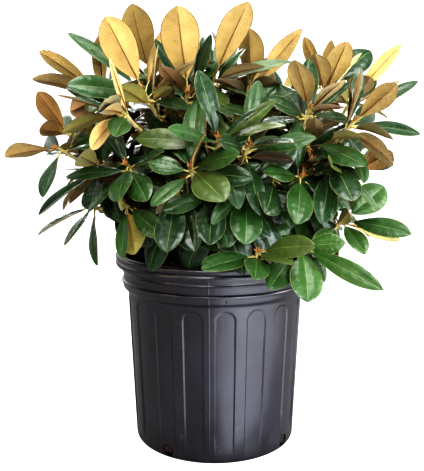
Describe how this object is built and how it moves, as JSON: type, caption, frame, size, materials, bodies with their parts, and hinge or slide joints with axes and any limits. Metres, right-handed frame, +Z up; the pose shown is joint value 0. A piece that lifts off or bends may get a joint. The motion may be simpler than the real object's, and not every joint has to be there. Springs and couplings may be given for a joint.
{
  "type": "potted rhododendron",
  "caption": "Evergreen shrub with leathery leaves, tan felted underneath, on a short forking trunk in a round black nursery pot with sunk arched panels.",
  "frame": {"origin": "middle of the pot's flat underside, on the ground", "axes": "+Z up along the pot's axis, -Y towards the front of the plant, +X to its right as seen from the front"},
  "size_m": [0.5479, 0.4862, 0.5766],
  "materials": {
    "pot": "semi-gloss moulded black plastic",
    "soil": "coarse shredded bark mix",
    "bark": "rough tan-brown bark",
    "foliage": "leathery leaves, glossy green above and tan felt below"
  },
  "bodies": {
    "root": {"pot": "pot", "soil": "soil", "trunk": "bark", "bough_upper_left": "bark", "bough_top": "bark", "bough_upper_right": "bark", "bough_right": "bark", "bough_lower_right": "bark", "bough_front": "bark", "bough_front_low": "bark", "bough_left": "bark", "bough_lower_left": "bark", "bough_back_right": "bark", "bough_back_mid_right": "bark", "bough_back_mid_left": "bark", "bough_back_left": "bark", "bough_back_top": "bark", "foliage_upper_left": "foliage", "foliage_top": "foliage", "foliage_upper_right": "foliage", "foliage_right": "foliage", "foliage_lower_right": "foliage", "foliage_front": "foliage", "foliage_front_low": "foliage", "foliage_left": "foliage", "foliage_lower_left": "foliage", "foliage_back_right": "foliage", "foliage_back_mid_right": "foliage", "foliage_back_mid_left": "foliage", "foliage_back_left": "foliage", "foliage_back_top": "foliage"}
  },
  "joints": []
}
